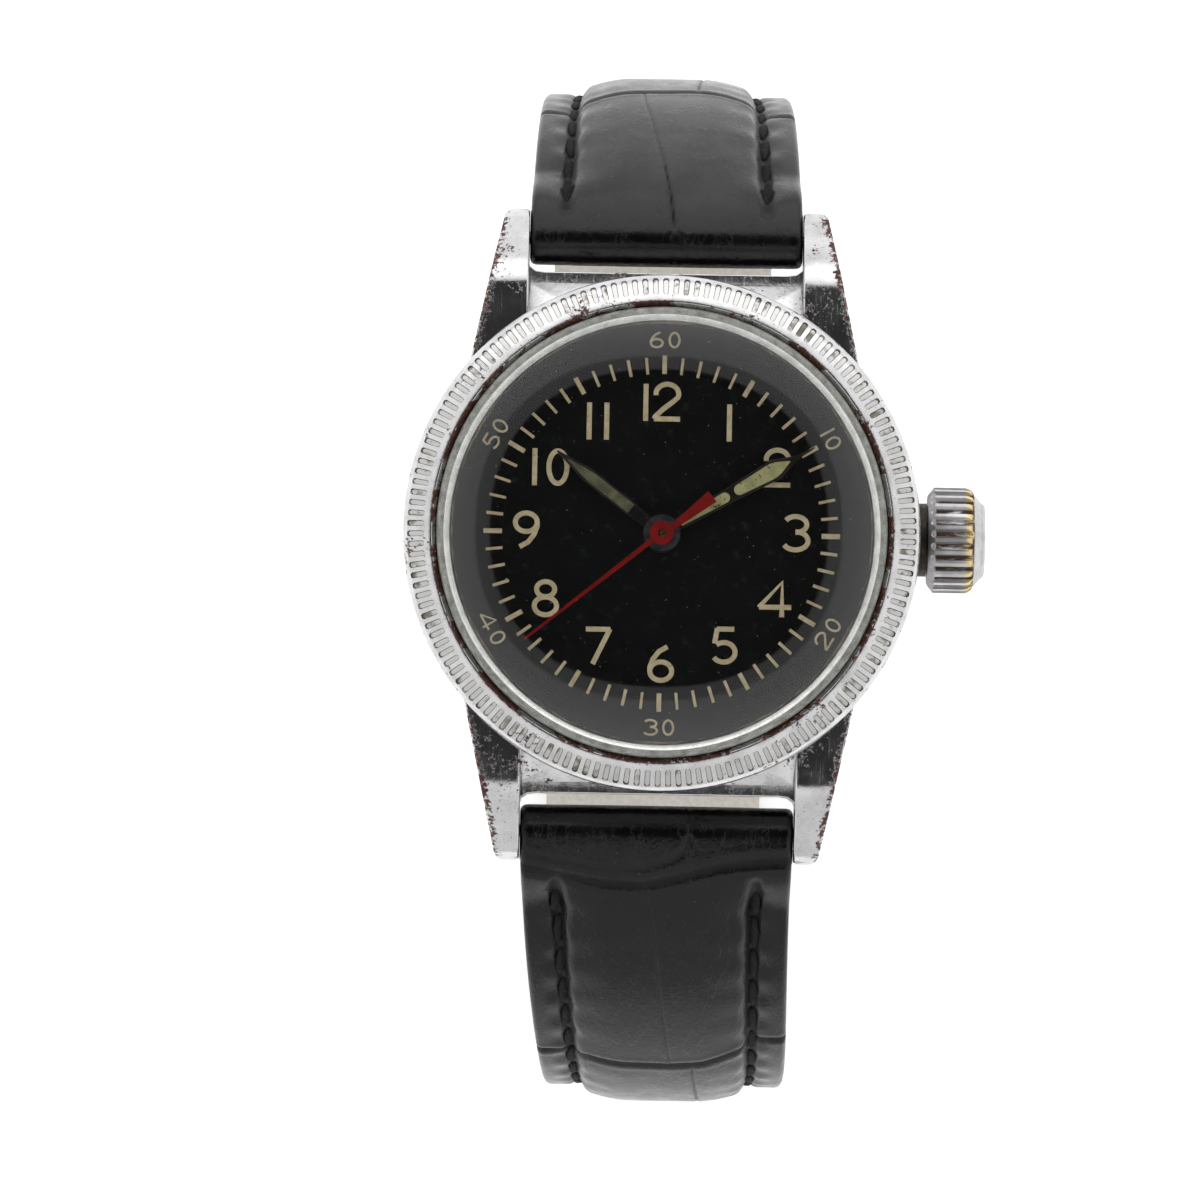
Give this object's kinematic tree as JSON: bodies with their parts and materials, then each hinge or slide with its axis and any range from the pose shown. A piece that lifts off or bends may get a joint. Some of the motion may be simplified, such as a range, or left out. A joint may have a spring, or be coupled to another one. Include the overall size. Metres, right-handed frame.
{
  "type": "pilot watch",
  "caption": "Hand-wound pilot watch with a coin-edge bezel, domed crystal, black dial with centre seconds, fluted crown and a padded leather strap with a pin buckle.",
  "frame": {"origin": "centre of the case back's flat outer face", "axes": "+Z out of the dial, +Y towards 12 o'clock, +X towards the crown"},
  "size_m": [0.0364, 0.0656, 0.0615],
  "materials": {
    "case_chrome": "worn polished chrome",
    "bezel_chrome": "worn polished chrome with brown spots on its edges",
    "acrylic": "aged clear acrylic, lightly scratched",
    "ring_chrome": "polished",
    "back_steel": "brushed and scratched",
    "seal_rubber": "matt",
    "spacer_steel": "turned",
    "tube_brass": "turned",
    "crown_chrome": "worn through to brass on the flutes",
    "movement_steel": "fine ground",
    "screw_steel": "blued",
    "spring_steel": "blued",
    "dial_black": "matt black with cream print",
    "hand_dark": "dark with cream lume",
    "hand_red": "satin red",
    "bridge_nickel": "nickel-plated brass",
    "plate_gilt": "gilt",
    "wheel_brass": "polished",
    "jewel": "synthetic ruby",
    "bar_steel": "plain",
    "strap_leather": "black, embossed, semi-gloss",
    "strap_lining": "light suede side",
    "buckle_chrome": "polished"
  },
  "bodies": {
    "head": {"case_body": "case_chrome", "bezel": "bezel_chrome", "crystal": "acrylic", "tension_ring": "ring_chrome", "case_back": "back_steel", "back_gasket": "seal_rubber", "movement_ring": "spacer_steel", "crown_tube": "tube_brass", "dial": "dial_black", "main_plate": "plate_gilt", "barrel_bridge": "bridge_nickel", "train_bridge": "bridge_nickel", "balance_cock": "bridge_nickel", "pallet_bridge": "bridge_nickel", "setting_bridge": "movement_steel", "bridge_screws": "screw_steel", "train_jewels": "jewel", "balance_jewels": "jewel", "hairspring": "spring_steel", "regulator": "movement_steel", "crown_wheel_screw": "screw_steel", "click_spring": "movement_steel", "spring_bars": "bar_steel"},
    "crown_slide": {"crown_gasket": "seal_rubber"},
    "crown": {"crown": "crown_chrome", "stem": "movement_steel"},
    "sliding_pinion": {"sliding_pinion": "movement_steel"},
    "winding_pinion": {"winding_pinion": "movement_steel"},
    "crown_wheel": {"crown_wheel": "movement_steel"},
    "ratchet": {"ratchet_wheel": "movement_steel", "ratchet_screw": "screw_steel", "barrel_arbor": "movement_steel"},
    "click": {"click": "movement_steel"},
    "setting_lever": {"setting_lever": "movement_steel"},
    "yoke": {"yoke": "movement_steel"},
    "barrel": {"barrel_drum": "wheel_brass", "barrel_cover": "wheel_brass", "mainspring": "spring_steel"},
    "centre": {"centre_wheel": "wheel_brass", "cannon_pinion": "movement_steel", "minute_hand": "hand_dark"},
    "third": {"third_wheel": "wheel_brass"},
    "fourth": {"fourth_wheel": "wheel_brass", "second_hand": "hand_red"},
    "escape": {"escape_wheel": "movement_steel"},
    "pallet_fork": {"pallet_fork": "movement_steel"},
    "balance": {"balance_wheel": "wheel_brass"},
    "minute_wheel": {"minute_wheel": "wheel_brass"},
    "hour": {"hour_wheel": "wheel_brass", "hour_hand": "hand_dark"},
    "setting_wheel": {"setting_wheel": "wheel_brass"},
    "strap_12": {"strap_12_leather": "strap_leather", "strap_12_lining": "strap_lining", "fixed_keeper": "strap_leather", "buckle_bar": "bar_steel"},
    "strap_6": {"strap_6_leather": "strap_leather", "strap_6_lining": "strap_lining"},
    "free_keeper": {"free_keeper": "strap_leather"},
    "buckle": {"buckle_frame": "buckle_chrome"},
    "tongue": {"buckle_tongue": "buckle_chrome"}
  },
  "joints": [
    {"name": "seconds", "type": "hinge", "parent": "head", "child": "fourth", "pos_m": [0, 0, 0.0042], "axis": [0, 0, 1], "continuous": true},
    {"name": "minutes", "type": "hinge", "parent": "head", "child": "centre", "pos_m": [0, 0, 0.0042], "axis": [0, 0, 1], "continuous": true},
    {"name": "hours", "type": "hinge", "parent": "head", "child": "hour", "pos_m": [0, 0, 0.0042], "axis": [0, 0, 1], "continuous": true},
    {"name": "third_spin", "type": "hinge", "parent": "head", "child": "third", "pos_m": [-0.0039, 0.00225, 0.0042], "axis": [0, 0, 1], "continuous": true},
    {"name": "barrel_spin", "type": "hinge", "parent": "head", "child": "barrel", "pos_m": [0.0027, 0.00509, 0.0042], "axis": [0, 0, 1], "continuous": true},
    {"name": "escape_spin", "type": "hinge", "parent": "head", "child": "escape", "pos_m": [0.00114, -0.00425, 0.0042], "axis": [0, 0, 1], "continuous": true},
    {"name": "minute_wheel_spin", "type": "hinge", "parent": "head", "child": "minute_wheel", "pos_m": [0.0024, 0, 0.0042], "axis": [0, 0, 1], "continuous": true},
    {"name": "setting_wheel_spin", "type": "hinge", "parent": "head", "child": "setting_wheel", "pos_m": [0.0055, 0, 0.0042], "axis": [0, 0, 1], "continuous": true},
    {"name": "crown_pull", "type": "slide", "parent": "head", "child": "crown_slide", "axis": [1, 0, 0], "range_m": [0, 0.0009]},
    {"name": "crown_turn", "type": "hinge", "parent": "crown_slide", "child": "crown", "pos_m": [0, 0, 0.0038], "axis": [1, 0, 0], "continuous": true},
    {"name": "winding_pinion_spin", "type": "hinge", "parent": "head", "child": "winding_pinion", "pos_m": [0, 0, 0.0038], "axis": [1, 0, 0], "continuous": true},
    {"name": "crown_wheel_spin", "type": "hinge", "parent": "head", "child": "crown_wheel", "pos_m": [0.00734, 0, 0.0042], "axis": [0, 0, 1], "continuous": true},
    {"name": "ratchet_spin", "type": "hinge", "parent": "head", "child": "ratchet", "pos_m": [0.0027, 0.00509, 0.0042], "axis": [0, 0, 1], "continuous": true},
    {"name": "sliding_pinion_shift", "type": "slide", "parent": "crown", "child": "sliding_pinion", "axis": [1, 0, 0], "range_m": [-0.0015, 0]},
    {"name": "setting_lever_swing", "type": "hinge", "parent": "head", "child": "setting_lever", "pos_m": [0.01115, -0.0026, 0.0042], "axis": [0, 0, 1], "range_deg": [-19.93, 0]},
    {"name": "yoke_swing", "type": "hinge", "parent": "head", "child": "yoke", "pos_m": [0.0089, 0.0049, 0.0042], "axis": [0, 0, 1], "range_deg": [-7.03, 0]},
    {"name": "click_swing", "type": "hinge", "parent": "head", "child": "click", "pos_m": [0.00773, 0.00743, 0.0042], "axis": [0, 0, 1], "range_deg": [-12, 0], "stiffness_Nm_per_rad": 0.000000001, "springref_deg": 5.73},
    {"name": "pallet_swing", "type": "hinge", "parent": "head", "child": "pallet_fork", "pos_m": [-0.001, -0.00475, 0.0042], "axis": [0, 0, 1], "range_deg": [-5, 5]},
    {"name": "balance_swing", "type": "hinge", "parent": "head", "child": "balance", "pos_m": [-0.00431, -0.00552, 0.0042], "axis": [0, 0, 1], "range_deg": [-270, 270], "stiffness_Nm_per_rad": 0.00000012},
    {"name": "strap_12_swing", "type": "hinge", "parent": "head", "child": "strap_12", "pos_m": [0, 0.01865, 0.0025], "axis": [1, 0, 0], "range_deg": [-25, 75]},
    {"name": "strap_6_swing", "type": "hinge", "parent": "head", "child": "strap_6", "pos_m": [0, -0.01865, 0.0025], "axis": [1, 0, 0], "range_deg": [-75, 0]},
    {"name": "free_keeper_slide", "type": "slide", "parent": "strap_12", "child": "free_keeper", "axis": [0, 1, 0], "range_m": [-0.0015, 0]},
    {"name": "buckle_swing", "type": "hinge", "parent": "strap_12", "child": "buckle", "pos_m": [0, 0.001, -0.0365], "axis": [1, 0, 0], "range_deg": [-60, 30]},
    {"name": "tongue_swing", "type": "hinge", "parent": "buckle", "child": "tongue", "pos_m": [0, 0.001, -0.0365], "axis": [1, 0, 0], "range_deg": [0, 45]}
  ],
  "couplings": [
    {"joint": "minutes", "follows": "seconds", "ratio": 0.016667},
    {"joint": "hours", "follows": "seconds", "ratio": 0.0013889},
    {"joint": "third_spin", "follows": "seconds", "ratio": -0.13333},
    {"joint": "barrel_spin", "follows": "seconds", "ratio": -0.002381},
    {"joint": "escape_spin", "follows": "seconds", "ratio": -10},
    {"joint": "minute_wheel_spin", "follows": "seconds", "ratio": -0.0055556},
    {"joint": "setting_wheel_spin", "follows": "seconds", "ratio": 0.0076923},
    {"joint": "winding_pinion_spin", "follows": "crown_turn", "ratio": 1},
    {"joint": "crown_wheel_spin", "follows": "crown_turn", "ratio": 0.64516},
    {"joint": "ratchet_spin", "follows": "crown_turn", "ratio": -0.4},
    {"joint": "sliding_pinion_shift", "follows": "crown_pull", "ratio": -1.6667},
    {"joint": "setting_lever_swing", "follows": "crown_pull", "rad_per_m": -386.56},
    {"joint": "yoke_swing", "follows": "crown_pull", "rad_per_m": -136.4}
  ]
}
